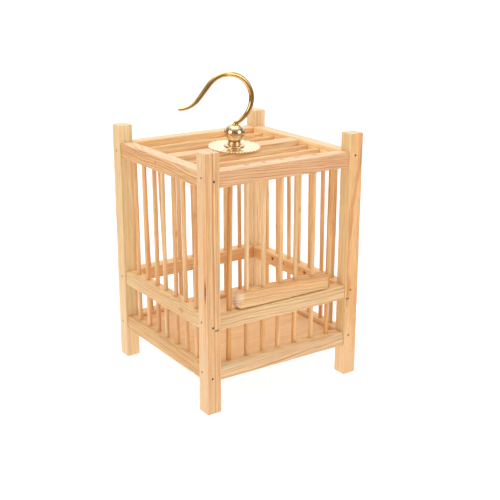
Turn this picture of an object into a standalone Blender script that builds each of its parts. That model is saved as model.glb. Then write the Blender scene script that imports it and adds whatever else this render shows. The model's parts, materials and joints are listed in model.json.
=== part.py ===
"""Small wooden bird cage: four corner posts, three levels of rails, round bars,
a lift-up front door and a brass swivel hook on the roof.

Frame: X to the right along the front, Y to the back, Z up; the origin is on the
ground, in the middle of the four feet. Lengths below are in millimetres and are
turned into metres where the meshes are made.
"""

import math

import bmesh
import bpy
from mathutils import Matrix, Vector

MM = 0.001

# ---------------------------------------------------------------- dimensions
FOOTPRINT = 80.0          # over the outer faces of the posts, both ways
POST = 6.3                # square post
POST_HEIGHT = 113.0
POST_ROUND = 0.6          # softened arrises of a post

RAIL_RECESS = 0.5         # rails lie this far behind the posts' outer faces
RAIL_THICK = 6.3
RAIL_LEVELS = {           # underside and top of each rail
    "top": (98.2, 105.0),
    "mid": (37.3, 43.5),
    "bottom": (14.6, 20.9),
}
RAIL_TOP_ROUND = 0.9
RAIL_LOW_ROUND = 0.4
RAIL_MITRE = 0.5          # the rails' inner end corners are taken off, clear of each other

GAP = 0.3                 # clearance between separate pieces

PITCH = 8.75              # spacing of the bars and of the drilling jig
BAR_RADIUS = 1.0
BAR_SIDES = 12
BAR_SOCKET = 3.0          # how far a bar enters the top and the bottom rail
SHORT_SOCKET = 2.5
BAR_LINE = {"left": -36.1, "right": 36.5, "front": -35.2, "back": 35.2}
# Each bar's wander from its place on the jig, at its foot and at its head: the
# bars are split cane and none of them stands quite true.
WANDER = {
    "left": ((1.0, 0.4, 0.5, 0.6, -0.1, -0.5, 0.05), (0.1, 1.8, 1.3, 1.8, 0.4, 0.9, 1.0)),
    "right": ((0.2, -1.1, -1.1, -0.5, -2.1, -1.3, -1.3), (-0.4, -0.1, 0.2, -0.2, -0.3, 0.3, 0.8)),
    "back": ((0.9, 0.8, 0.2, -0.4, 0.1, 0.1, 0.1), (-1.1, -1.9, -0.4, -1.7, -1.6, 0.2, -0.7)),
}

LONG_BARS = ((-26.5, -25.3), (26.3, 27.0))     # x at foot and at head
SHORT_BARS = ((-17.3, -17.4), (-9.2, -8.8), (-0.8, -0.5), (8.2, 8.5), (17.4, 17.6))

DOOR_DOWELS = (-17.4, -8.7, 0.4, 8.3, 17.7)    # x of each door dowel
DOOR_DOWEL_LINE = -35.3                        # their common y
DOOR_BAR_LENGTH = 48.4
DOOR_BAR_SHIFT = 0.8        # its middle lies this far to the right
DOOR_BAR_FRONT = -38.4
DOOR_BAR_BACK = -32.0
DOOR_BAR_TOP = 50.6
DOOR_BAR_ROUND = 1.1
DOOR_DOWEL_SOCKET = 3.5

FLOOR_TOP = 19.3
FLOOR_THICK = 2.0

GRID_Z = 102.1
GRID_Y = (26.5, 16.9, 8.3, -9.4, -18.1, -26.6)  # the third one's hole only: see grid_dowels
GRID_SOCKET = 1.0

PERCH_Z = 41.2            # blind holes on the inner faces of the side middle rails
PERCH_DEPTH = 1.5
PERCH_RADIUS = 1.0

ROOF_BAR_WIDTH = 6.8
ROOF_BAR_LOW, ROOF_BAR_HIGH = -2.9, 2.7        # about the line of its two nails
ROOF_NAIL_Z = 101.8
ROOF_TILT = 3.0           # degrees, the slat is turned a little on its nails
HOOK_X = -0.3             # the hook's axis along the slat

SHANK_RADIUS = 1.05
BORE_RADIUS = 1.4
ROSETTE_RADIUS = 11.5
ROSETTE_SCALLOPS = 24
ROSETTE_DEPTH = 0.3
ROSETTE_THICK = 0.45
FITTING_FOOT = 3.75       # height of the fitting's foot above the nail line
# Turned outline of the fitting, as (radius, height above its foot).
FITTING_OUTLINE = (
    (4.40, 0.00), (4.75, 0.20), (4.60, 0.45), (3.75, 0.62), (3.22, 0.85),
    (3.22, 1.20), (2.95, 1.45), (2.98, 1.90), (3.35, 2.45), (3.90, 3.10),
    (4.30, 3.90), (4.45, 4.90), (4.25, 6.00), (3.60, 7.00), (2.60, 7.65),
    (2.10, 7.80),
)
COLLAR_LOW, COLLAR_HIGH, COLLAR_RADIUS = 11.85, 12.35, 2.0
HEAD_RADIUS, HEAD_THICK = 2.2, 0.9             # peened end of the shank under the slat
HOOK_TURN = -12.0         # degrees about the swivel axis at rest
LOOP_CENTRE = (-3.67, 23.99)
LOOP_RADIUS = 11.27
LOOP_FROM, LOOP_TO = -66.0, 143.0              # degrees round the loop
TAIL_STRAIGHT = 7.2
TAIL_RADIUS, TAIL_TURN = 10.6, 55.0
WIRE_RADIUS = 1.15
TIP_RADIUS = 0.6


# ---------------------------------------------------------------- the scene
def clear_scene():
    for obj in list(bpy.data.objects):
        bpy.data.objects.remove(obj, do_unlink=True)


def material(name, colour, roughness, metallic=0.0):
    mat = bpy.data.materials.new(name)
    mat.use_nodes = True
    shader = mat.node_tree.nodes["Principled BSDF"]
    shader.inputs["Base Color"].default_value = (*colour, 1.0)
    shader.inputs["Roughness"].default_value = roughness
    shader.inputs["Metallic"].default_value = metallic
    mat.diffuse_color = (*colour, 1.0)
    return mat


def add_object(name, bm, mat=None, parent=None):
    bmesh.ops.recalc_face_normals(bm, faces=bm.faces)
    mesh = bpy.data.meshes.new(name)
    bm.to_mesh(mesh)
    bm.free()
    mesh.shade_smooth()
    mesh.set_sharp_from_angle(angle=math.radians(35))
    obj = bpy.data.objects.new(name, mesh)
    bpy.context.scene.collection.objects.link(obj)
    if mat:
        mesh.materials.append(mat)
    if parent:
        obj.parent = parent
    return obj


def add_empty(name, location, rotation=(0.0, 0.0, 0.0)):
    empty = bpy.data.objects.new(name, None)
    empty.empty_display_size = 0.01
    empty.location = Vector(location) * MM
    empty.rotation_euler = rotation
    bpy.context.scene.collection.objects.link(empty)
    return empty


def make_cutter(obj):
    obj.hide_render = True
    obj.display_type = "WIRE"
    return obj


def cut(obj, *cutters):
    for cutter in cutters:
        mod = obj.modifiers.new("cut_" + cutter.name, "BOOLEAN")
        mod.operation = "DIFFERENCE"
        mod.solver = "EXACT"
        mod.object = cutter


# ---------------------------------------------------------------- shapes
def block(size):
    """A box of this size in millimetres, centred on its own origin."""
    bm = bmesh.new()
    bmesh.ops.create_cube(bm, size=1.0)
    bmesh.ops.scale(bm, vec=Vector(size) * MM, verts=bm.verts)
    return bm


def round_edges(bm, keep, width, segments=2):
    """Rounds the edges for which keep(middle, direction) is true."""
    chosen = []
    for edge in bm.edges:
        a, b = (v.co for v in edge.verts)
        if keep((a + b) / 2 / MM, (b - a).normalized()):
            chosen.append(edge)
    bmesh.ops.bevel(
        bm, geom=chosen, offset=width * MM, segments=segments, profile=0.5,
        affect="EDGES", clamp_overlap=True,
    )


def rod_matrix(foot, head):
    """Where a rod from foot to head lies, with its own Z along it."""
    foot, head = Vector(foot), Vector(head)
    turn = (head - foot).to_track_quat("Z", "Y").to_matrix().to_4x4()
    return Matrix.Translation((foot + head) / 2 * MM) @ turn


def add_rod(bm, foot, head, radius, sides=BAR_SIDES, matrix=None):
    length = (Vector(head) - Vector(foot)).length
    bmesh.ops.create_cone(
        bm, cap_ends=True, segments=sides, radius1=radius * MM, radius2=radius * MM,
        depth=length * MM, matrix=rod_matrix(foot, head) if matrix is None else matrix,
    )


def rod(name, foot, head, radius, mat, parent=None):
    bm = bmesh.new()
    add_rod(bm, foot, head, radius, matrix=Matrix.Identity(4))
    obj = add_object(name, bm, mat)
    place = rod_matrix(foot, head)
    if parent:
        obj.parent = parent
        place = parent.matrix_basis.inverted() @ place
    obj.location = place.to_translation()
    obj.rotation_mode = "QUATERNION"
    obj.rotation_quaternion = place.to_quaternion()
    return obj


def along(foot, head, z):
    """The point of the line from foot to head at this height."""
    foot, head = Vector(foot), Vector(head)
    return foot.lerp(head, (z - foot.z) / (head.z - foot.z))


def rods_cutter(name, runs, radius):
    bm = bmesh.new()
    for foot, head in runs:
        add_rod(bm, foot, head, radius)
    return make_cutter(add_object(name, bm))


# ---------------------------------------------------------------- the frame
def posts(mat):
    reach = FOOTPRINT / 2 - POST / 2
    for side, x in (("left", -reach), ("right", reach)):
        for end, y in (("front", -reach), ("back", reach)):
            bm = block((POST, POST, POST_HEIGHT))
            round_edges(bm, lambda m, d: True, POST_ROUND)
            obj = add_object(f"post_{end}_{side}", bm, mat)
            obj.location = Vector((x, y, POST_HEIGHT / 2)) * MM


def rails(mat):
    """The twelve rails, each between two posts, with its own +Y towards the inside."""
    length = FOOTPRINT - 2 * POST - 2 * GAP
    middle = FOOTPRINT / 2 - RAIL_RECESS - RAIL_THICK / 2
    made = {}
    for side, (x, y, turn) in {
        "front": (0, -middle, 0), "back": (0, middle, 180),
        "left": (-middle, 0, 270), "right": (middle, 0, 90),
    }.items():
        for level, (low, high) in RAIL_LEVELS.items():
            bm = block((length, RAIL_THICK, high - low))
            top = (high - low) / 2
            round_edges(bm, lambda m, d: abs(d.z) > 0.9 and m.y > 0, RAIL_MITRE, 1)
            round_edges(bm, lambda m, d: abs(d.x) > 0.9 and m.z > top * 0.9, RAIL_TOP_ROUND)
            round_edges(bm, lambda m, d: abs(d.x) > 0.9 and m.z < -top * 0.95, RAIL_LOW_ROUND, 1)
            obj = add_object(f"rail_{side}_{level}", bm, mat)
            obj.location = Vector((x, y, (low + high) / 2)) * MM
            obj.rotation_euler = (0, 0, math.radians(turn))
            made[side, level] = obj
    return made


def bar_runs(side):
    """Foot and head of each of a side's seven bars."""
    foot_z = RAIL_LEVELS["bottom"][1] - BAR_SOCKET
    head_z = RAIL_LEVELS["top"][0] + BAR_SOCKET
    line = BAR_LINE[side]
    low, high = WANDER[side]
    for k in range(7):
        place = (k - 3) * PITCH
        a, b = place + low[k], place + high[k]
        if side == "back":
            yield (a, line, foot_z), (b, line, head_z)
        else:
            yield (line, a, foot_z), (line, b, head_z)


def stretch(run, extra):
    """The same run, longer by extra at both ends."""
    foot, head = Vector(run[0]), Vector(run[1])
    step = (head - foot).normalized() * extra
    return foot - step, head + step


def side_bars(made, mat):
    for side in ("left", "right", "back"):
        runs = list(bar_runs(side))
        for k, (foot, head) in enumerate(runs):
            rod(f"{side}_bar_{k + 1}", foot, head, BAR_RADIUS, mat)
        cutter = rods_cutter(f"cut_{side}_bars", [stretch(r, GAP) for r in runs], BAR_RADIUS + GAP)
        for level in RAIL_LEVELS:
            cut(made[side, level], cutter)


def front_bars(made, mat):
    line = BAR_LINE["front"]
    foot_z = RAIL_LEVELS["bottom"][1] - BAR_SOCKET
    head_z = RAIL_LEVELS["top"][0] + BAR_SOCKET
    long_runs = [((a, line, foot_z), (b, line, head_z)) for a, b in LONG_BARS]
    short_z = RAIL_LEVELS["mid"][0] + SHORT_SOCKET
    short_runs = [((a, line, foot_z), (b, line, short_z)) for a, b in SHORT_BARS]
    for side, (foot, head) in zip(("left", "right"), long_runs):
        rod(f"front_long_bar_{side}", foot, head, BAR_RADIUS, mat)
    for k, (foot, head) in enumerate(short_runs):
        rod(f"front_short_bar_{k + 1}", foot, head, BAR_RADIUS, mat)
    cutter = rods_cutter(
        "cut_front_bars", [stretch(r, GAP) for r in long_runs + short_runs], BAR_RADIUS + GAP
    )
    for level in RAIL_LEVELS:
        cut(made["front", level], cutter)


def floor_panel(mat):
    side = FOOTPRINT - 2 * (RAIL_RECESS + RAIL_THICK + GAP)
    bm = block((side, side, FLOOR_THICK))
    obj = add_object("floor_panel", bm, mat)
    obj.location = Vector((0, 0, FLOOR_TOP - FLOOR_THICK / 2)) * MM


def perch_holes(made):
    """A row of blind holes on the inner face of each side's middle rail."""
    inner = FOOTPRINT / 2 - RAIL_RECESS - RAIL_THICK
    for side, sign in (("left", -1), ("right", 1)):
        runs = [
            ((sign * (inner - 2), k * PITCH - 0.9, PERCH_Z), (sign * (inner + PERCH_DEPTH), k * PITCH - 0.9, PERCH_Z))
            for k in range(-3, 4)
        ]
        cut(made[side, "mid"], rods_cutter(f"cut_{side}_perches", runs, PERCH_RADIUS))


def grid_dowels(made, mat):
    """The roof's dowels, front to back of the slat, let into the side rails.

    The hole next to the slat's back edge is drilled like the others.
    """
    reach = FOOTPRINT / 2 - RAIL_RECESS - RAIL_THICK + GRID_SOCKET
    runs = [((-reach, y, GRID_Z), (reach, y, GRID_Z)) for y in GRID_Y]
    solid = [run for k, run in enumerate(runs) if k != 2]
    for k, (foot, head) in enumerate(solid):
        rod(f"grid_dowel_{k + 1}", foot, head, BAR_RADIUS, mat)
    cutter = rods_cutter("cut_grid", [stretch(r, GAP) for r in runs], BAR_RADIUS + GAP)
    cut(made["left", "top"], cutter)
    cut(made["right", "top"], cutter)


# ---------------------------------------------------------------- the door
def door(made, mat_bar, mat_dowel):
    """Five dowels in a bar. The dowels slide up through the front top rail."""
    lift = add_empty("door_lift", (0, DOOR_DOWEL_LINE, DOOR_BAR_TOP))
    low = RAIL_LEVELS["mid"][1] + GAP
    size = (DOOR_BAR_LENGTH, DOOR_BAR_BACK - DOOR_BAR_FRONT, DOOR_BAR_TOP - low)
    centre = Vector((DOOR_BAR_SHIFT, (DOOR_BAR_FRONT + DOOR_BAR_BACK) / 2, (low + DOOR_BAR_TOP) / 2))
    bm = block(size)
    round_edges(bm, lambda m, d: True, DOOR_BAR_ROUND)
    bar = add_object("door_bar", bm, mat_bar, lift)
    bar.location = (centre - Vector((0, DOOR_DOWEL_LINE, DOOR_BAR_TOP))) * MM
    foot_z = DOOR_BAR_TOP - DOOR_DOWEL_SOCKET
    head_z = RAIL_LEVELS["top"][1]
    runs = [((x, DOOR_DOWEL_LINE, foot_z), (x, DOOR_DOWEL_LINE, head_z)) for x in DOOR_DOWELS]
    for k, (foot, head) in enumerate(runs):
        rod(f"door_dowel_{k + 1}", foot, head, BAR_RADIUS, mat_dowel, lift)
    sockets = [(stretch(r, GAP)[0], r[1]) for r in runs]
    cut(bar, rods_cutter("cut_door_sockets", sockets, BAR_RADIUS + GAP))
    guides = [(along(f, h, head_z - 12), Vector(h) + Vector((0, 0, 5))) for f, h in runs]
    cut(made["front", "top"], rods_cutter("cut_door_guides", guides, BAR_RADIUS + GAP))


# ---------------------------------------------------------------- the roof slat and the hook
def lathe(bm, outline, sides):
    """Turns a closed outline of (radius, height) about Z, in millimetres."""
    rings = []
    for k in range(sides):
        a = 2 * math.pi * k / sides
        rings.append([
            bm.verts.new(Vector((r * math.cos(a), r * math.sin(a), z)) * MM) for r, z in outline
        ])
    count = len(outline)
    for k in range(sides):
        this, that = rings[k], rings[(k + 1) % sides]
        for j in range(count):
            m = (j + 1) % count
            bm.faces.new((this[j], that[j], that[m], this[m]))


def roof_slat(mat, tilt):
    inner = FOOTPRINT / 2 - RAIL_RECESS - RAIL_THICK - GAP
    bm = block((2 * inner, ROOF_BAR_WIDTH, ROOF_BAR_HIGH - ROOF_BAR_LOW))
    round_edges(bm, lambda m, d: abs(d.x) > 0.9, 0.4, 1)
    slat = add_object("roof_slat", bm, mat, tilt)
    slat.location = Vector((-HOOK_X, 0, (ROOF_BAR_HIGH + ROOF_BAR_LOW) / 2)) * MM
    bm = bmesh.new()
    add_rod(bm, (0, 0, ROOF_BAR_LOW - 2), (0, 0, ROOF_BAR_HIGH + 2), BORE_RADIUS)
    bore = make_cutter(add_object("cut_slat_bore", bm, parent=tilt))
    cut(slat, bore)


def rosette(mat, tilt):
    """A thin stamped disc with a scalloped rim."""
    bm = bmesh.new()
    low = ROOF_BAR_HIGH + GAP
    per = 4
    count = ROSETTE_SCALLOPS * per
    rows = []
    for radius, z in ((BORE_RADIUS, 0.0), (BORE_RADIUS, ROSETTE_THICK), (None, ROSETTE_THICK - 0.1), (None, 0.0)):
        row = []
        for k in range(count):
            a = 2 * math.pi * k / count
            r = radius
            if r is None:
                r = ROSETTE_RADIUS - ROSETTE_DEPTH * (1 - abs(math.sin(a * ROSETTE_SCALLOPS / 2)))
            row.append(bm.verts.new(Vector((r * math.cos(a), r * math.sin(a), low + z)) * MM))
        rows.append(row)
    for k in range(count):
        n = (k + 1) % count
        for j in range(4):
            this, that = rows[j], rows[(j + 1) % 4]
            bm.faces.new((this[k], this[n], that[n], that[k]))
    add_object("hook_rosette", bm, mat, tilt)


def fitting(mat, tilt):
    """The turned brass ball that the hook swivels in, bored right through."""
    bm = bmesh.new()
    outline = [(r, FITTING_FOOT + z) for r, z in FITTING_OUTLINE]
    top = outline[-1][1]
    lathe(bm, [(BORE_RADIUS, FITTING_FOOT)] + outline + [(BORE_RADIUS, top)], 24)
    add_object("hook_fitting", bm, mat, tilt)


def hook_path():
    """(along, up, wire radius, heading) down the hook, from the shank's end to the tip."""
    points = []
    up = math.radians(90)
    head_low = ROOF_BAR_LOW - GAP - HEAD_THICK
    for z, r in (
        (head_low, HEAD_RADIUS - 0.3), (head_low + 0.3, HEAD_RADIUS), (ROOF_BAR_LOW - GAP, HEAD_RADIUS),
        (ROOF_BAR_LOW - GAP, SHANK_RADIUS),
        (COLLAR_LOW, SHANK_RADIUS), (COLLAR_LOW, COLLAR_RADIUS), (COLLAR_HIGH - 0.15, COLLAR_RADIUS),
        (COLLAR_HIGH, COLLAR_RADIUS - 0.25), (COLLAR_HIGH, SHANK_RADIUS),
    ):
        points.append((0.0, z, r, up))
    # The bend from the upright shank into the loop.
    a = math.radians(LOOP_FROM)
    start = (LOOP_CENTRE[0] + LOOP_RADIUS * math.cos(a), LOOP_CENTRE[1] + LOOP_RADIUS * math.sin(a))
    heading = a + math.pi / 2
    bend = start[0] / (1 - math.sin(heading))
    centre = (bend, start[1] - bend * math.cos(heading))
    for k in range(1, 5):
        h = up + (heading - up) * k / 5
        points.append((centre[0] - bend * math.sin(h), centre[1] + bend * math.cos(h), SHANK_RADIUS, h))
    # Round the loop.
    steps = 26
    for k in range(steps + 1):
        f = k / steps
        a = math.radians(LOOP_FROM + (LOOP_TO - LOOP_FROM) * f)
        r = SHANK_RADIUS + (WIRE_RADIUS - SHANK_RADIUS) * min(1.0, f * 2.5)
        points.append((
            LOOP_CENTRE[0] + LOOP_RADIUS * math.cos(a), LOOP_CENTRE[1] + LOOP_RADIUS * math.sin(a),
            r, a + math.pi / 2,
        ))
    # The straight run down and the tail that turns up to the tip.
    x, z, r, h = points[-1]
    total = TAIL_STRAIGHT + TAIL_RADIUS * math.radians(TAIL_TURN)
    run = 0.0
    for length, turn, steps in ((TAIL_STRAIGHT, 0.0, 3), (TAIL_RADIUS * math.radians(TAIL_TURN), -math.radians(TAIL_TURN), 8)):
        for k in range(steps):
            step = length / steps
            h_next = h + turn / steps
            x += step * math.cos((h + h_next) / 2)
            z += step * math.sin((h + h_next) / 2)
            h = h_next
            run += step
            f = run / total
            points.append((x, z, WIRE_RADIUS + (TIP_RADIUS - WIRE_RADIUS) * f ** 1.6, h))
    # The rounded tip.
    for back, share in ((0.35, 0.8), (0.55, 0.35)):
        points.append((x + back * math.cos(h), z + back * math.sin(h), TIP_RADIUS * share, h))
    return points


def hook(mat, tilt):
    """Wire hook with its shank, shoulder and peened end. Its origin is on the swivel axis."""
    bm = bmesh.new()
    sides = 12
    rings = []
    for x, z, r, h in hook_path():
        # Across the wire: level with Y, and square to its heading in the hook's plane.
        across = Vector((math.sin(h), 0, -math.cos(h)))
        ring = []
        for k in range(sides):
            a = 2 * math.pi * k / sides
            ring.append(bm.verts.new((Vector((x, 0, z)) + (across * math.cos(a) + Vector((0, 1, 0)) * math.sin(a)) * r) * MM))
        rings.append(ring)
    for this, that in zip(rings[:-1], rings[1:]):
        for k in range(sides):
            n = (k + 1) % sides
            bm.faces.new((this[k], this[n], that[n], that[k]))
    bm.faces.new(rings[0][::-1])
    bm.faces.new(rings[-1])
    obj = add_object("hook", bm, mat, tilt)
    obj.rotation_euler = (0, 0, math.radians(HOOK_TURN))


# ---------------------------------------------------------------- the whole cage
def main():
    clear_scene()
    pine = material("pine", (0.78, 0.53, 0.30), 0.55)
    pine_door = material("pine_door", (0.80, 0.56, 0.31), 0.5)
    cane = material("cane", (0.72, 0.45, 0.22), 0.5)
    plywood = material("plywood", (0.80, 0.52, 0.31), 0.6)
    brass = material("brass", (0.83, 0.62, 0.26), 0.16, 1.0)

    posts(pine)
    made = rails(pine)
    side_bars(made, cane)
    front_bars(made, cane)
    floor_panel(plywood)
    perch_holes(made)
    grid_dowels(made, cane)
    door(made, pine_door, cane)

    tilt = add_empty("roof_slat_tilt", (HOOK_X, 0, ROOF_NAIL_Z), (math.radians(ROOF_TILT), 0, 0))
    roof_slat(pine, tilt)
    rosette(brass, tilt)
    fitting(brass, tilt)
    hook(brass, tilt)


main()
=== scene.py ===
"""The looks of the small wooden bird cage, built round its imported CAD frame."""

import json
import math

import bmesh
import bpy
import numpy as np
from mathutils import Matrix, Quaternion, Vector, noise


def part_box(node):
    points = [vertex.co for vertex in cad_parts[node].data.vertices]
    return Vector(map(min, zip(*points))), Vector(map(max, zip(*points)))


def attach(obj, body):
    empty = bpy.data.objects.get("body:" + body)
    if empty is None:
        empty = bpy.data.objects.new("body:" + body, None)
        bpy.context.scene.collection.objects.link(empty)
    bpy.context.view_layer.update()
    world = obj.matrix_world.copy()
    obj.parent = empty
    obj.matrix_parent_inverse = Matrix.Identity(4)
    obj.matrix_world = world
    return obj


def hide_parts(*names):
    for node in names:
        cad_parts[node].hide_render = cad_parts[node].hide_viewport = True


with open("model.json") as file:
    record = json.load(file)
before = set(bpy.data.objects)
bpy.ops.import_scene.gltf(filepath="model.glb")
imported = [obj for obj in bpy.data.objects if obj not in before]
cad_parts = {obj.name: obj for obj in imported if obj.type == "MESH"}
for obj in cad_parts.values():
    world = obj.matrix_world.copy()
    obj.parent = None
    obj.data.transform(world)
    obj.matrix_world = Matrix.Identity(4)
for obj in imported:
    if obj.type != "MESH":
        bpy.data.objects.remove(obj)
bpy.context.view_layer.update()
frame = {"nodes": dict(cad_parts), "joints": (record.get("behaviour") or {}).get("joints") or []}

MM = 0.001
NODES = frame["nodes"]


# ================================================================ node trees
class Tree:
    """Short names for building a shader out of nodes."""

    def __init__(self, mat):
        mat.use_nodes = True
        self.tree = mat.node_tree
        self.tree.nodes.clear()

    def node(self, kind, **values):
        made = self.tree.nodes.new(kind)
        for name, value in values.items():
            setattr(made, name, value)
        return made

    def put(self, socket, value):
        if isinstance(value, bpy.types.NodeSocket):
            self.tree.links.new(value, socket)
        elif value is not None:
            socket.default_value = value
        return socket

    def math(self, operation, a, b=None, c=None, clamp=False):
        made = self.node("ShaderNodeMath", operation=operation, use_clamp=clamp)
        for k, value in enumerate((a, b, c)):
            if value is not None:
                self.put(made.inputs[k], value)
        return made.outputs[0]

    def add(self, *values):
        total = values[0]
        for value in values[1:]:
            total = self.math("ADD", total, value)
        return total

    def mul(self, *values):
        total = values[0]
        for value in values[1:]:
            total = self.math("MULTIPLY", total, value)
        return total

    def vmath(self, operation, a, b=None):
        made = self.node("ShaderNodeVectorMath", operation=operation)
        self.put(made.inputs[0], a)
        if b is not None:
            self.put(made.inputs[1], b)
        return made.outputs["Value" if operation in ("LENGTH", "DOT_PRODUCT") else "Vector"]

    def join(self, x, y, z):
        made = self.node("ShaderNodeCombineXYZ")
        for k, value in enumerate((x, y, z)):
            self.put(made.inputs[k], value)
        return made.outputs[0]

    def split(self, vector):
        made = self.node("ShaderNodeSeparateXYZ")
        self.put(made.inputs[0], vector)
        return made.outputs

    def noise(self, vector, scale, detail=2.0, roughness=0.5, dims="3D", w=None):
        made = self.node("ShaderNodeTexNoise", noise_dimensions=dims)
        if vector is not None and dims != "1D":
            self.put(made.inputs["Vector"], vector)
        if w is not None:
            self.put(made.inputs["W"], w)
        made.inputs["Scale"].default_value = scale
        made.inputs["Detail"].default_value = detail
        made.inputs["Roughness"].default_value = roughness
        return made.outputs["Fac"]

    def step(self, value, low, high, out_low=0.0, out_high=1.0):
        """Eases from out_low to out_high as value goes from low to high."""
        made = self.node("ShaderNodeMapRange", interpolation_type="SMOOTHSTEP")
        self.put(made.inputs["Value"], value)
        made.inputs["From Min"].default_value = low
        made.inputs["From Max"].default_value = high
        made.inputs["To Min"].default_value = out_low
        made.inputs["To Max"].default_value = out_high
        return made.outputs["Result"]

    def line(self, value, low, high, out_low, out_high):
        made = self.node("ShaderNodeMapRange", interpolation_type="LINEAR", clamp=True)
        self.put(made.inputs["Value"], value)
        made.inputs["From Min"].default_value = low
        made.inputs["From Max"].default_value = high
        made.inputs["To Min"].default_value = out_low
        made.inputs["To Max"].default_value = out_high
        return made.outputs["Result"]

    def mix(self, factor, a, b, blend="MIX"):
        made = self.node("ShaderNodeMix", data_type="RGBA", blend_type=blend, clamp_factor=True)
        self.put(made.inputs[0], factor)
        for socket, value in ((made.inputs[6], a), (made.inputs[7], b)):
            self.put(socket, (*value, 1.0) if isinstance(value, tuple) and len(value) == 3 else value)
        return made.outputs[2]

    def scaled(self, colour, factor):
        """The colour times a number that varies over the surface."""
        made = self.node("ShaderNodeVectorMath", operation="SCALE")
        self.put(made.inputs[0], colour)
        self.put(made.inputs["Scale"], factor)
        return made.outputs[0]

    def finish(self, colour, roughness, height, distance, strength=1.0, metallic=0.0, **fixed):
        shader = self.node("ShaderNodeBsdfPrincipled")
        out = self.node("ShaderNodeOutputMaterial")
        self.put(shader.inputs["Base Color"], colour)
        self.put(shader.inputs["Roughness"], roughness)
        shader.inputs["Metallic"].default_value = metallic
        for name, value in fixed.items():
            shader.inputs[name].default_value = value
        if height is not None:
            bump = self.node("ShaderNodeBump")
            bump.inputs["Strength"].default_value = strength
            bump.inputs["Distance"].default_value = distance
            self.put(bump.inputs["Height"], height)
            self.tree.links.new(bump.outputs["Normal"], shader.inputs["Normal"])
        self.tree.links.new(shader.outputs[0], out.inputs[0])


def srgb(r, g, b):
    """A colour as it looks on a screen, 0 to 255, as the numbers a shader takes."""
    def one(v):
        v /= 255.0
        return v / 12.92 if v <= 0.04045 else ((v + 0.055) / 1.055) ** 2.4
    return (one(r), one(g), one(b))


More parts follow.
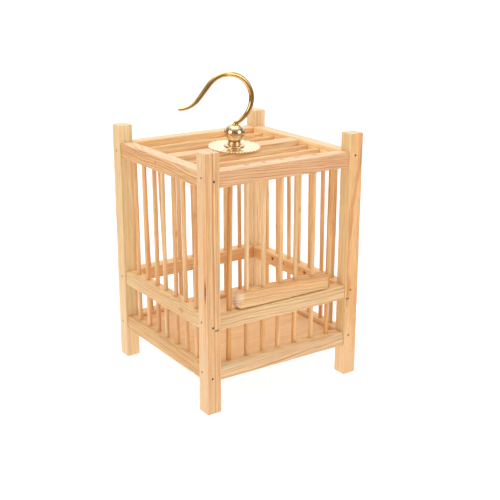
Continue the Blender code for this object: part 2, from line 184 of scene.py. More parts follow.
# ================================================================ materials
def wood(
    name, seed, pale, deep, late, pitch=1.1, strength=0.6, pith=(0.0, 60.0), slope=0.0,
    wave=0.5, wave_length=30.0, fibre=0.06, speckle=0.0, end=None, knots=(), patches=(),
    rough=0.52, relief=0.05, contrast=1.0, sides=(), tint=(1.0, 1.0, 1.0),
):
    """Pine with growth rings. Lengths are in millimetres and +X runs along the grain.

    pale and deep are the two tones of the early wood, late the colour of the late
    wood's lines. pith is where the tree's middle lies, across the grain, and slope
    how far it wanders for each millimetre along it.
    """
    # Painted light in part: tint scales all three tones, and the faces given by sides keep their own colour.
    pale, deep, late = (tuple(c * f for c, f in zip(colour, tint)) for colour in (pale, deep, late))
    mat = bpy.data.materials.new(name)
    t = Tree(mat)
    coords = t.node("ShaderNodeTexCoord")
    place = t.vmath("MULTIPLY", coords.outputs["Object"], (1000.0, 1000.0, 1000.0))
    place_xyz = t.split(place)
    x, y, z = place_xyz[0], place_xyz[1], place_xyz[2]
    shift = (seed * 13.7 % 97.0, seed * 7.3 % 89.0, seed * 3.1 % 83.0)

    def at(sx, sy, sz, extra=0.0):
        return t.vmath("ADD", t.vmath("MULTIPLY", place, (sx, sy, sz)), tuple(s + extra for s in shift))

    # Where each point lies across the growth rings.
    wander = t.mul(t.math("SUBTRACT", t.noise(at(1.0 / wave_length, 0.02, 0.02), 1.0, 2.0), 0.5), wave * 4.0)
    ripple = t.mul(t.math("SUBTRACT", t.noise(at(0.09, 0.35, 0.35, 5.0), 1.0, 2.0), 0.5), 0.45 * min(1.0, pitch))
    across = t.join(
        0.0,
        t.math("SUBTRACT", t.math("SUBTRACT", y, t.mul(x, slope if abs(pith[0]) > abs(pith[1]) else 0.0)), pith[0]),
        t.math("SUBTRACT", t.math("SUBTRACT", z, t.mul(x, slope if abs(pith[1]) >= abs(pith[0]) else 0.0)), pith[1]),
    )
    radius = t.add(t.vmath("LENGTH", across), wander, ripple)
    turns = t.math("DIVIDE", radius, pitch)
    uneven = t.mul(t.noise(None, 0.55, 1.0, dims="1D", w=t.add(turns, seed * 1.7)), 1.5)
    turns = t.add(turns, uneven)
    phase = t.math("FRACT", turns)
    line = t.math("MULTIPLY", t.step(phase, 0.38, 0.78), t.step(phase, 0.86, 1.0, 1.0, 0.0))
    ring_no = t.math("FLOOR", turns)
    each = t.node("ShaderNodeTexWhiteNoise", noise_dimensions="1D")
    t.put(each.inputs["W"], t.add(ring_no, seed * 3.3))
    each_strength = t.line(each.outputs["Value"], 0.0, 1.0, 0.45, 1.0)
    fade = t.line(t.noise(at(0.05, 0.12, 0.12, 9.0), 1.0, 2.0), 0.3, 0.7, 0.65, 1.0)
    rings = t.mul(line, each_strength, fade)

    patch = t.step(t.noise(at(0.022, 0.16, 0.16, 21.0), 1.0, 3.0), 0.33, 0.67)
    colour = t.mix(patch, pale, deep)
    colour = t.mix(t.mul(rings, strength), colour, late)

    # Fibres, and the short darker marks of resin canals.
    streak = t.noise(at(0.16, 5.2, 5.2, 31.0), 1.0, 3.0, 0.6)
    fine = t.noise(at(0.9, 16.0, 16.0, 37.0), 1.0, 2.0, 0.6)
    broad = t.noise(at(0.07, 1.7, 1.7, 33.0), 1.0, 2.0, 0.6)
    tone = t.add(
        t.line(broad, 0.25, 0.75, 1.0 - fibre * 1.3, 1.0 + fibre * 1.1),
        t.line(streak, 0.25, 0.75, -fibre, fibre * 0.8),
        t.line(fine, 0.25, 0.75, -fibre * 0.5, fibre * 0.45),
    )
    canal = t.step(t.noise(at(0.45, 9.0, 9.0, 43.0), 1.0, 1.0), 0.70, 0.80)
    colour = t.scaled(colour, tone)
    colour = t.mix(t.mul(canal, 0.35 * contrast), colour, tuple(0.62 * c for c in late))

    # Painted light: faces turned to the lamps, the posts' left faces and the tops of rails and slat, are painted paler
    # with fainter rings, a painted highlight: (axis, sign, colour, strength).
    normal = t.split(coords.outputs["Normal"])
    for axis, sign, shade, amount in sides:
        lit_face = t.step(t.math("MULTIPLY", normal[axis], float(sign)), 0.45, 0.85)
        faint = t.mix(t.mul(rings, 0.30), shade, late)
        faint = t.scaled(faint, t.add(t.mul(t.math("SUBTRACT", tone, 1.0), 1.0), 1.0))
        colour = t.mix(t.mul(lit_face, amount), colour, faint)

    # End grain, where the face looks along the trunk.
    facing = t.math("ABSOLUTE", normal[0])
    on_end = t.step(facing, 0.55, 0.88)
    pores = t.step(t.noise(at(3.2, 3.2, 3.2, 51.0), 1.0, 2.0, 0.7), 0.50, 0.66)
    end_colour = end or tuple(0.97 * c for c in pale)
    end_tone = t.mix(t.mul(rings, strength * 0.8), end_colour, late)
    end_tone = t.mix(t.mul(pores, 0.20 + speckle), end_tone, tuple(0.45 * c for c in late))
    colour = t.mix(on_end, colour, end_tone)

    # Knots and stains, and painted light such as the posts' paler feet and the door bar's pale end: (x, y, z, reach
    # along, reach across, colour, strength).
    for kx, ky, kz, along, wide, tint, amount in knots:
        away = t.vmath("LENGTH", t.vmath(
            "DIVIDE", t.vmath("SUBTRACT", place, (kx, ky, kz)), (along, wide, wide)))
        away = t.add(away, t.mul(t.math("SUBTRACT", t.noise(at(0.5, 2.0, 2.0, 61.0), 1.0, 2.0), 0.5), 0.7))
        colour = t.mix(t.mul(t.step(away, 0.25, 1.0, 1.0, 0.0), amount), colour, tint)
    # Patches with an edge, the painted shade down the rails' holes among them: (low corner, high corner, colour,
    # strength).
    for low, high, tint, amount in patches:
        inside = None
        for axis, (a, b) in zip((x, y, z), zip(low, high)):
            soft = 0.25
            both = t.math("MULTIPLY", t.step(axis, a - soft, a + soft), t.step(axis, b - soft, b + soft, 1.0, 0.0))
            inside = both if inside is None else t.math("MULTIPLY", inside, both)
        broken = t.step(t.noise(at(0.6, 1.8, 1.8, 71.0), 1.0, 3.0, 0.65), 0.28, 0.45)
        colour = t.mix(t.mul(inside, broken, amount), colour, tint)

    # Roughness follows the rings, the fibres and the end grain.
    roughness = t.add(
        t.line(rings, 0.0, 1.0, rough, rough - 0.10),
        t.line(streak, 0.3, 0.7, -0.04, 0.05),
        t.mul(on_end, 0.16),
    )
    saw = t.noise(at(2.3, 0.35, 0.35, 81.0), 1.0, 1.0)
    height = t.add(
        t.mul(rings, 0.55), t.mul(streak, 0.5), t.mul(fine, 0.35), t.mul(saw, 0.22),
        t.mul(on_end, pores, -0.8),
    )
    t.finish(colour, roughness, height, relief * MM, strength=0.75, **{"Specular IOR Level": 0.42})
    return mat


def cane(name, seed, pale, deep, dark):
    """Round split bamboo. "shift" moves the pattern from bar to bar, "mark" darkens its nodes."""
    mat = bpy.data.materials.new(name)
    t = Tree(mat)
    coords = t.node("ShaderNodeTexCoord")
    shift = t.node("ShaderNodeAttribute", attribute_name="shift").outputs["Fac"]
    mark = t.node("ShaderNodeAttribute", attribute_name="mark").outputs["Fac"]
    place = t.vmath("MULTIPLY", coords.outputs["Object"], (1000.0, 1000.0, 1000.0))
    moved = t.vmath("ADD", place, t.join(t.mul(shift, 37.0), t.mul(shift, 11.0), t.mul(shift, 23.0)))

    def at(sx, sy, sz, extra=0.0):
        return t.vmath("ADD", t.vmath("MULTIPLY", moved, (sx, sy, sz)), (seed + extra, seed * 2 + extra, extra))

    broad = t.noise(at(0.03, 0.55, 0.55), 1.0, 2.0)
    fibres = t.noise(at(0.12, 4.5, 4.5, 3.0), 1.0, 3.0, 0.65)
    hair = t.noise(at(0.5, 15.0, 15.0, 7.0), 1.0, 2.0, 0.6)
    bands = t.noise(at(0.05, 1.5, 1.5, 5.0), 1.0, 2.0, 0.6)
    colour = t.mix(t.step(broad, 0.35, 0.65), pale, deep)
    colour = t.mix(t.mul(t.step(fibres, 0.52, 0.72), 0.55), colour, dark)
    colour = t.scaled(colour, t.line(bands, 0.28, 0.72, 0.83, 1.15))
    colour = t.scaled(colour, t.add(t.line(hair, 0.25, 0.75, 0.93, 1.06), t.mul(t.math("SUBTRACT", shift, 0.5), 0.10)))
    # Short dark flecks, and the pale scrapes where the skin of the cane was left.
    fleck = t.step(t.noise(at(0.4, 3.0, 3.0, 13.0), 1.0, 1.0), 0.77, 0.86)
    colour = t.mix(t.mul(fleck, 0.45), colour, tuple(0.42 * c for c in dark))
    scrape = t.step(t.noise(at(0.22, 1.3, 1.3, 19.0), 1.0, 2.0), 0.66, 0.76)
    colour = t.mix(t.mul(scrape, 0.35), colour, srgb(250, 226, 190))
    colour = t.mix(t.mul(mark, 0.40), colour, srgb(150, 88, 44))
    facing = t.math("ABSOLUTE", t.split(coords.outputs["Normal"])[0])
    on_end = t.step(facing, 0.6, 0.9)
    pores = t.step(t.noise(at(4.0, 4.0, 4.0, 23.0), 1.0, 1.0), 0.50, 0.62)
    end = t.mix(t.mul(pores, 0.6), srgb(226, 186, 136), srgb(150, 96, 52))
    colour = t.mix(on_end, colour, end)
    roughness = t.add(t.line(fibres, 0.3, 0.7, 0.40, 0.50), t.mul(mark, 0.15))
    height = t.add(t.mul(fibres, 0.7), t.mul(hair, 0.4), t.mul(mark, 0.4))
    t.finish(colour, roughness, height, 0.05 * MM, strength=0.8, **{"Specular IOR Level": 0.45})
    return mat


def brass(name, seed, colour, rough, lines=(1.0, 1.0, 1.0), shade=0.5):
    """Polished and lacquered brass with the faint lines of its polishing."""
    mat = bpy.data.materials.new(name)
    t = Tree(mat)
    coords = t.node("ShaderNodeTexCoord")
    place = t.vmath("MULTIPLY", coords.outputs["Object"], (1000.0, 1000.0, 1000.0))

    def at(s, extra=0.0):
        return t.vmath("ADD", t.vmath("MULTIPLY", place, tuple(s * v for v in lines)), (seed + extra,) * 3)

    cloud = t.noise(at(0.35), 1.0, 3.0)
    rub = t.noise(at(5.0, 4.0), 1.0, 3.0, 0.65)
    tint = t.mix(t.mul(t.step(cloud, 0.4, 0.75), shade), colour, tuple(c * f for c, f in zip(colour, (0.90, 0.82, 0.66))))
    roughness = t.add(t.line(rub, 0.3, 0.75, rough, rough + 0.07), t.line(cloud, 0.4, 0.7, 0.0, 0.03))
    t.finish(tint, roughness, rub, 0.004 * MM, strength=0.5, metallic=1.0)
    return mat


def steel(name, pale, dark, metallic):
    """Bright wire nails, dulled where the hammer struck."""
    mat = bpy.data.materials.new(name)
    t = Tree(mat)
    coords = t.node("ShaderNodeTexCoord")
    place = t.vmath("MULTIPLY", coords.outputs["Object"], (1000.0, 1000.0, 1000.0))
    grime = t.noise(place, 2.2, 3.0, 0.6)
    colour = t.mix(t.step(grime, 0.40, 0.62), pale, dark)
    t.finish(colour, t.line(grime, 0.3, 0.7, 0.35, 0.6), grime, 0.02 * MM, metallic=metallic)
    return mat


def floor_cloth(name):
    """The pale studio floor."""
    mat = bpy.data.materials.new(name)
    t = Tree(mat)
    coords = t.node("ShaderNodeTexCoord")
    faint = t.noise(coords.outputs["Object"], 9.0, 3.0)
    t.finish(
        t.mix(faint, (0.56, 0.56, 0.56), (0.58, 0.58, 0.58)), 0.9, None, 0.0,
        **{"Specular IOR Level": 0.05, "Emission Color": (0.88, 0.90, 1.0, 1.0)},
    )
    # The sweep is lit from beneath, more so away from the middle.
    shader = next(n for n in t.tree.nodes if n.type == "BSDF_PRINCIPLED")
    t.put(shader.inputs["Emission Strength"], t.step(t.vmath("LENGTH", coords.outputs["Object"]), 0.15, 1.6, 0.745, 0.95))
    return mat


# ================================================================ meshes
def new_object(name, verts, faces, mat, place=None, smooth_angle=32.0):
    mesh = bpy.data.meshes.new(name)
    mesh.from_pydata([tuple(v) for v in verts], [], faces)
    mesh.validate()
    bm = bmesh.new()
    bm.from_mesh(mesh)
    bmesh.ops.recalc_face_normals(bm, faces=bm.faces)
    bm.to_mesh(mesh)
    bm.free()
    mesh.shade_smooth()
    mesh.set_sharp_from_angle(angle=math.radians(smooth_angle))
    if mat:
        mesh.materials.append(mat)
    obj = bpy.data.objects.new(name, mesh)
    bpy.context.scene.collection.objects.link(obj)
    if place is not None:
        obj.matrix_world = place
    return obj


def section(half_y, half_z, radii, inset, per_side, per_corner):
    """Points (y, z) round a rounded oblong, anticlockwise, and how near each is to a corner."""
    points, corner = [], []
    spots = ((1, 1, 0), (-1, 1, 90), (-1, -1, 180), (1, -1, 270))
    arcs = []
    for (sy, sz, start), r in zip(spots, radii):
        r = max(r - inset * 0.5, 0.05)
        cy, cz = sy * (half_y - inset - r), sz * (half_z - inset - r)
        arcs.append([
            (cy + r * math.cos(math.radians(start + 90 * k / per_corner)),
             cz + r * math.sin(math.radians(start + 90 * k / per_corner)))
            for k in range(per_corner + 1)
        ])
    for k, arc in enumerate(arcs):
        points += arc
        corner += [1.0] * len(arc)
        (ay, az), (by, bz) = arc[-1], arcs[(k + 1) % 4][0]
        for m in range(1, per_side + 1):
            f = m / (per_side + 1)
            points.append((ay + (by - ay) * f, az + (bz - az) * f))
            corner.append(0.0)
    return points, corner


def timber(
    name, length, width, height, mat, place, seed, radii=(0.5, 0.5, 0.5, 0.5), end_round=(0.4, 0.4),
    stations=64, per_side=5, per_corner=4, wobble=0.045, nick=0.10, bow=(0.0, 0.0), bend=None, dome=0.0,
):
    """A sawn and sanded stick along its own X, with soft arrises, small dents and a little bow.

    radii are those of the corners at (+y +z), (-y +z), (-y -z) and (+y -z). bend, if
    given, moves a point (x, y, z) in millimetres.
    """
    rounds = 5
    steps = []
    for k in range(rounds):
        f = math.radians(90 * k / rounds)
        steps.append((-length / 2 + end_round[0] * (1 - math.cos(f)), end_round[0] * (1 - math.sin(f))))
    low, high = -length / 2 + end_round[0], length / 2 - end_round[1]
    for k in range(stations + 1):
        steps.append((low + (high - low) * k / stations, 0.0))
    for k in range(rounds - 1, -1, -1):
        f = math.radians(90 * k / rounds)
        steps.append((length / 2 - end_round[1] * (1 - math.cos(f)), end_round[1] * (1 - math.sin(f))))

    def finished(x, y, z, edge):
        size = math.hypot(y, z) or 1.0
        out = Vector((0.0, y / size, z / size))
        spot = Vector((x * 0.11 + seed * 5.1, y * 0.22 + seed, z * 0.22 - seed))
        push = wobble * noise.noise(spot)
        push += wobble * 0.5 * noise.noise(Vector((x * 0.45 + seed, y * 0.5, z * 0.5 + seed * 2)))
        if edge:
            worn = noise.noise(Vector((x * 0.35 + seed * 9, (1 if y > 0 else -1) * 7.0, (1 if z > 0 else -1) * 7.0)))
            push -= nick * max(0.0, worn - 0.12) * 2.2
        along = 1.0 - (2 * x / length) ** 2
        p = Vector((x, y + bow[0] * along, z + bow[1] * along)) + out * push
        return bend(p) if bend else p

    verts, faces, rows = [], [], []
    for x, inset in steps:
        points, corner = section(width / 2, height / 2, radii, inset, per_side, per_corner)
        row = []
        for (y, z), edge in zip(points, corner):
            row.append(len(verts))
            verts.append(finished(x, y, z, edge) * MM)
        rows.append(row)
    count = len(rows[0])
    for a, b in zip(rows[:-1], rows[1:]):
        for k in range(count):
            n = (k + 1) % count
            faces.append((a[k], a[n], b[n], b[k]))
    for row, x, side in ((rows[0], -length / 2, -1), (rows[-1], length / 2, 1)):
        middle = sum((verts[i] for i in row), Vector()) / count
        last = row
        for share in (0.78, 0.52, 0.26):
            ring = []
            for i in row:
                p = middle + (verts[i] - middle) * share
                rough = 0.05 * noise.noise(p * 1400 + Vector((seed, seed, 0)))
                p = p + Vector((side * (rough + dome * (1 - share ** 2)) * MM, 0, 0))
                ring.append(len(verts))
                verts.append(p)
            for k in range(count):
                n = (k + 1) % count
                faces.append((last[k], last[n], ring[n], ring[k]))
            last = ring
        verts.append(middle + Vector((side * dome * MM, 0, 0)))
        for k in range(count):
            n = (k + 1) % count
            faces.append((last[k], last[n], len(verts) - 1))
    return new_object(name, verts, faces, mat, place)


def stick(name, foot, head, radius, mat, seed, joints=(), sides=20, stations=40, flat=0.0, bow=0.12):
    """A round bar from foot to head, in metres, with the small swellings of its nodes."""
    foot, head = Vector(foot), Vector(head)
    length = (head - foot).length / MM
    turn = (head - foot).to_track_quat("X", "Z")
    place = Matrix.Translation((foot + head) / 2) @ turn.to_matrix().to_4x4()
    verts, faces, marks = [], [], []
    lean = seed * 2.399
    xs = [-length / 2, -length / 2 + 0.06] + [
        -length / 2 + 0.06 + (length - 0.12) * k / stations for k in range(1, stations)
    ] + [length / 2 - 0.06, length / 2]
    for k, x in enumerate(xs):
        trim = 0.07 if k in (0, len(xs) - 1) else 0.0
        swell = 1.0 + 0.05 * noise.noise(Vector((x * 0.07 + seed * 3.3, seed, 0.5)))
        mark = 0.0
        for spot, big in joints:
            near = math.exp(-((x - spot) / (0.9 * big)) ** 2)
            swell += 0.05 * near
            mark = max(mark, near)
        off = bow * (1 - (2 * x / length) ** 2)
        cy, cz = off * math.cos(lean), off * math.sin(lean)
        for j in range(sides):
            a = 2 * math.pi * j / sides
            r = radius * swell - trim
            r *= 1.0 + 0.035 * noise.noise(Vector((math.cos(a) * 1.3 + seed, math.sin(a) * 1.3, x * 0.05 + seed)))
            r -= flat * max(0.0, math.cos(a - lean * 1.7)) ** 6
            verts.append(Vector((x, cy + r * math.cos(a), cz + r * math.sin(a))) * MM)
            side = max(0.0, math.cos(a - lean * 0.7 - 2.0)) ** 2
            marks.append(mark * side)
    rows = len(xs)
    for k in range(rows - 1):
        for j in range(sides):
            n = (j + 1) % sides
            faces.append((k * sides + j, k * sides + n, (k + 1) * sides + n, (k + 1) * sides + j))
    for base, side in ((0, -1), ((rows - 1) * sides, 1)):
        middle = sum((verts[base + j] for j in range(sides)), Vector()) / sides
        inner = []
        for j in range(sides):
            p = middle + (verts[base + j] - middle) * 0.5
            inner.append(len(verts))
            verts.append(p + Vector((side * 0.02 * MM, 0, 0)))
            marks.append(0.0)
        for j in range(sides):
            n = (j + 1) % sides
            faces.append((base + j, base + n, inner[n], inner[j]))
        faces.append(tuple(inner))
    obj = new_object(name, verts, faces, mat, place, 40.0)
    mesh = obj.data
    shift = mesh.attributes.new("shift", "FLOAT", "POINT")
    shift.data.foreach_set("value", [(seed * 0.61803) % 1.0] * len(mesh.vertices))
    mark = mesh.attributes.new("mark", "FLOAT", "POINT")
    mark.data.foreach_set("value", marks[: len(mesh.vertices)])
    return obj


def drill(obj, runs, sides=28):
    """Cuts round holes: each run is (from, to, radius), in metres and metres."""
    verts, faces = [], []
    for start, stop, radius in runs:
        start, stop = Vector(start), Vector(stop)
        turn = (stop - start).to_track_quat("X", "Z").to_matrix()
        base = len(verts)
        for end in (start, stop):
            for j in range(sides):
                a = 2 * math.pi * j / sides
                verts.append(end + turn @ Vector((0, math.cos(a), math.sin(a))) * radius)
        for j in range(sides):
            n = (j + 1) % sides
            faces.append((base + j, base + n, base + sides + n, base + sides + j))
        faces.append(tuple(base + j for j in range(sides))[::-1])
        faces.append(tuple(base + sides + j for j in range(sides)))
    cutter = new_object("cutter", verts, faces, None)
    mod = obj.modifiers.new("holes", "BOOLEAN")
    mod.operation = "DIFFERENCE"
    mod.solver = "EXACT"
    mod.use_self = True
    mod.object = cutter
    bpy.context.view_layer.update()
    graph = bpy.context.evaluated_depsgraph_get()
    mesh = bpy.data.meshes.new_from_object(obj.evaluated_get(graph))
    old = obj.data
    obj.modifiers.clear()
    obj.data = mesh
    mesh.name = old.name
    bpy.data.meshes.remove(old)
    cutter_mesh = cutter.data
    bpy.data.objects.remove(cutter)
    bpy.data.meshes.remove(cutter_mesh)
    mesh.shade_smooth()
    mesh.set_sharp_from_angle(angle=math.radians(32))
    return obj


def ends(node):
    """The middles of the two ends of a CAD rod, lower (or left) one first."""
    points = np.array([v.co for v in NODES[node].data.vertices], float)
    spread = points.max(0) - points.min(0)
    axis = int(np.argmax(spread))
    low, high = points[:, axis].min(), points[:, axis].max()
    foot = points[points[:, axis] < low + 0.0006].mean(0)
    head = points[points[:, axis] > high - 0.0006].mean(0)
    return Vector(foot), Vector(head)


def done(obj, body, slot, *nodes):
    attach(obj, body)
    if nodes:
        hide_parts(*nodes)
    return obj


def middle_and_size(node):
    low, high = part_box(node)
    return (low + high) / 2, (high - low) / MM


UPRIGHT = Matrix(((0, 0, -1, 0), (0, 1, 0, 0), (1, 0, 0, 0), (0, 0, 0, 1)))
ALONG_Y = Matrix.Rotation(math.radians(90), 4, "Z")


# ================================================================ colours
PINE_PALE = srgb(243, 214, 168)
PINE_WARM = srgb(238, 198, 145)
PINE_LATE = srgb(214, 150, 92)
RAIL_LATE = srgb(200, 140, 100)
END_PALE = srgb(248, 224, 186)
# Each piece of wood's colour factor, partly its own cast and partly painted light: factors under one darken and warm
# pieces whose faces fall in shade, and those over one, on the back and right pieces and the floor panel, paint in light
# their inner faces lack.
CAST_AND_PAINTED_LIGHT = {
    "post_front_left": (0.95, 0.88, 0.79), "post_front_right": (0.95, 0.83, 0.70),
    "post_back_left": (1.0, 1.15, 1.17), "post_back_right": (1.06, 1.14, 1.18),
    "rail_front_top": (0.95, 0.90, 0.82), "rail_left_top": (1.03, 1.02, 0.92), "rail_right_top": (1.22, 1.26, 1.28),
    "rail_front_mid": (0.96, 0.955, 0.945), "rail_left_mid": (0.96, 0.93, 0.83),
    "rail_front_bottom": (0.93, 0.94, 0.92), "rail_left_bottom": (0.92, 0.885, 0.77),
    "rail_back_top": (1.16, 1.18, 1.06), "door_bar": (0.98, 0.92, 0.81),
    "floor_panel": (1.0, 1.1, 1.1),
}


# ================================================================ the posts
FULLER = 0.25           # the posts' wood stands this far outside the frame's boxes, all round
BRAD = 0.52 * MM        # radius of a nail's hole
brads = []              # (point on the face, direction in) of every nail head


def nail(post, axis, other, z):
    """A nail through a post, in along the axis, with its head just under the face."""
    low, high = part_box(post)
    middle = (low + high) / 2
    point = Vector((middle.x, middle.y, z * MM))
    inward = Vector((0, 0, 0))
    sign = -1 if middle[axis] < 0 else 1
    point[axis] = low[axis] - FULLER * MM if sign < 0 else high[axis] + FULLER * MM
    point[1 - axis] = other * MM
    inward[axis] = -sign
    brads.append((point, inward))
    return (point - inward * 0.5 * MM, point + inward * 0.55 * MM, BRAD)


# Painted light: a paler patch up each post's foot stands in for light thrown up from the floor.
FOOT_PAINTED_LIGHT = (-54.0, 0.0, 0.0, 34.0, 9.0, srgb(246, 206, 158), 0.35)
# The sides entries paint the posts' left faces paler than their fronts, painted light from the left.
POSTS = {
    # post: material's look, and its nails as (axis, place on the other axis, height)
    "post_front_left": dict(
        seed=3.0, pith=(3.0, 26.0), pitch=1.12, strength=1.0, pale=srgb(242, 203, 150), deep=srgb(238, 190, 134),
        late=srgb(196, 122, 66), slope=0.004, wave=0.16, wave_length=60.0,
        sides=((2, 1, srgb(237, 195, 145), 0.85),),
        nails=((0, -37.0, 102.9), (0, -35.9, 41.2), (0, -35.8, 18.7), (1, -36.2, 101.4), (1, -37.2, 39.4), (1, -37.7, 16.5)),
        knots=(FOOT_PAINTED_LIGHT, (6.0, -1.9, 3.6, 46.0, 1.6, srgb(238, 156, 84), 0.85), (-1.0, -2.2, 3.4, 7.5, 1.0, srgb(146, 50, 18), 0.95)),
        round=0.35, ends=(0.7, 0.55),
    ),
    "post_front_right": dict(
        seed=8.0, pith=(-48.0, 6.0), pitch=1.25, strength=0.85, pale=srgb(245, 204, 148), deep=srgb(240, 190, 130),
        late=srgb(208, 134, 72), slope=0.012, wave=0.3, wave_length=44.0,
        sides=((2, 1, srgb(246, 216, 157), 0.85),),
        nails=((1, 36.3, 103.3), (1, 36.2, 41.4), (1, 35.8, 19.4), (0, -36.0, 102.6), (0, -36.4, 40.8), (0, -36.1, 18.2)),
        # A second paler patch on this foot, more painted light from the floor.
        knots=(FOOT_PAINTED_LIGHT, (-52.0, 0.0, 0.0, 30.0, 9.0, srgb(250, 216, 176), 0.20)), round=0.45, ends=(0.8, 0.5),
    ),
    "post_back_left": dict(
        seed=12.0, pith=(40.0, 30.0), pitch=1.6, strength=0.5, pale=srgb(246, 208, 156), deep=srgb(242, 198, 144),
        late=srgb(214, 148, 86), slope=0.006, wave=0.3, wave_length=50.0,
        sides=((2, 1, srgb(243, 203, 149), 0.85),),
        nails=((0, 36.7, 101.0), (0, 36.1, 40.6), (0, 36.5, 17.9), (1, -36.4, 101.8), (1, -36.0, 40.2), (1, -36.7, 17.8)),
        knots=(FOOT_PAINTED_LIGHT, (49.5, 3.15, 1.2, 3.0, 0.8, srgb(226, 178, 112), 0.5)), round=0.5, ends=(0.7, 0.75),
    ),
    "post_back_right": dict(
        seed=17.0, pith=(-36.0, -12.0), pitch=1.3, strength=0.45, pale=srgb(246, 212, 162), deep=srgb(241, 198, 142),
        late=srgb(208, 138, 76), slope=0.01, wave=0.5, wave_length=42.0,
        nails=((0, 36.3, 102.2), (0, 36.6, 40.9), (0, 36.0, 18.1), (1, 36.2, 101.6), (1, 36.5, 40.4), (1, 36.1, 18.0)),
        knots=((0.0, -3.1, 0.9, 14.0, 0.5, srgb(190, 100, 40), 0.8),), round=0.5, ends=(0.7, 1.0),
    ),
}

for node, look in POSTS.items():
    centre, size = middle_and_size(node)
    mat = wood(
        "pine_" + node, look["seed"], look["pale"], look["deep"], look["late"], pitch=look["pitch"],
        strength=look["strength"], pith=look["pith"], slope=look["slope"], wave=look["wave"],
        wave_length=look["wave_length"], fibre=0.12, end=END_PALE, knots=look["knots"], rough=0.5,
        sides=look.get("sides", ()), tint=CAST_AND_PAINTED_LIGHT.get(node, (1.0, 1.0, 1.0)),
    )
    r = look["round"]
    post = timber(
        node + "_wood", size.z, size.y + 2 * FULLER, size.x + 2 * FULLER, mat,
        Matrix.Translation(centre) @ UPRIGHT, look["seed"],
        radii=(r, r, r, r), end_round=look["ends"], stations=90, wobble=0.05, nick=0.12, bow=(0.05, -0.04),
    )
    drill(post, [nail(node, *spot) for spot in look["nails"]], sides=16)
    done(post, "frame", "post_pine", node)


# ================================================================ bars
BAR_NODES = [f"{side}_bar_{k}" for side in ("left", "right", "back") for k in range(1, 8)]
BAR_NODES += ["front_long_bar_left", "front_long_bar_right"] + [f"front_short_bar_{k}" for k in range(1, 6)]
GRID_NODES = [f"grid_dowel_{k}" for k in range(1, 6)]
DOOR_NODES = [f"door_dowel_{k}" for k in range(1, 6)]

CANES = [
    cane("cane_honey", 2.0, srgb(241, 198, 140), srgb(232, 180, 118), srgb(204, 142, 80)),
    cane("cane_pale", 5.0, srgb(244, 208, 154), srgb(236, 190, 132), srgb(212, 154, 94)),
    cane("cane_rosy", 8.0, srgb(239, 192, 134), srgb(228, 170, 108), srgb(198, 134, 76)),
    cane("cane_amber", 11.0, srgb(236, 182, 112), srgb(222, 158, 86), srgb(188, 120, 56)),
]
CANE_OF = {
    "front_long_bar_left": 3, "front_long_bar_right": 3, "front_short_bar_2": 2, "front_short_bar_3": 2,
    "left_bar_7": 2, "left_bar_6": 2, "left_bar_5": 2, "left_bar_4": 1, "left_bar_3": 2, "left_bar_2": 0,
    "left_bar_1": 2, "door_dowel_1": 1, "door_dowel_2": 1, "door_dowel_3": 0, "door_dowel_4": 0, "door_dowel_5": 0,
}
CANE_RADIUS = {"front_long_bar_left": 1.12, "front_long_bar_right": 1.0, "door_dowel_1": 1.05}
rods = {}
for k, node in enumerate(BAR_NODES + GRID_NODES + DOOR_NODES):
    foot, head = ends(node)
    seed = 1.0 + k * 1.37
    rand = (math.sin(seed * 12.9898) * 43758.5453) % 1.0
    radius = CANE_RADIUS.get(node, 0.96 + 0.10 * rand)
    length = (head - foot).length / MM
    joints = []
    if rand > 0.45 and length > 40:
        joints.append(((rand - 0.5) * length * 0.7, 0.5 + rand * 0.5))
    straight = node in DOOR_NODES
    made = stick(
        node + "_cane", foot, head, radius, CANES[CANE_OF.get(node, k % 3)], seed, joints,
        bow=0.0 if straight else 0.14, flat=0.0 if straight else 0.05,
    )
    rods[node] = (foot, head, radius)
    done(made, "door" if straight else "frame", "cane", node)

# The roof's last dowel lies close behind the slat, in its own pair of holes.
foot, head, radius = rods["grid_dowel_2"]
behind = Vector((0, 0.0083 - foot.y, 0))
made = stick("grid_dowel_behind_slat", foot + behind, head + behind, 0.98, CANES[0], 77.0, bow=0.1)
done(made, "frame", "cane")
rods["grid_dowel_behind_slat"] = (foot + behind, head + behind, 0.98)


# ================================================================ the rails
def holes_for(names, wider=0.07):
    """Each rod's own hole, a shade wider than the rod."""
    return [(rods[n][0], rods[n][1], (rods[n][2] + wider) * MM) for n in names]


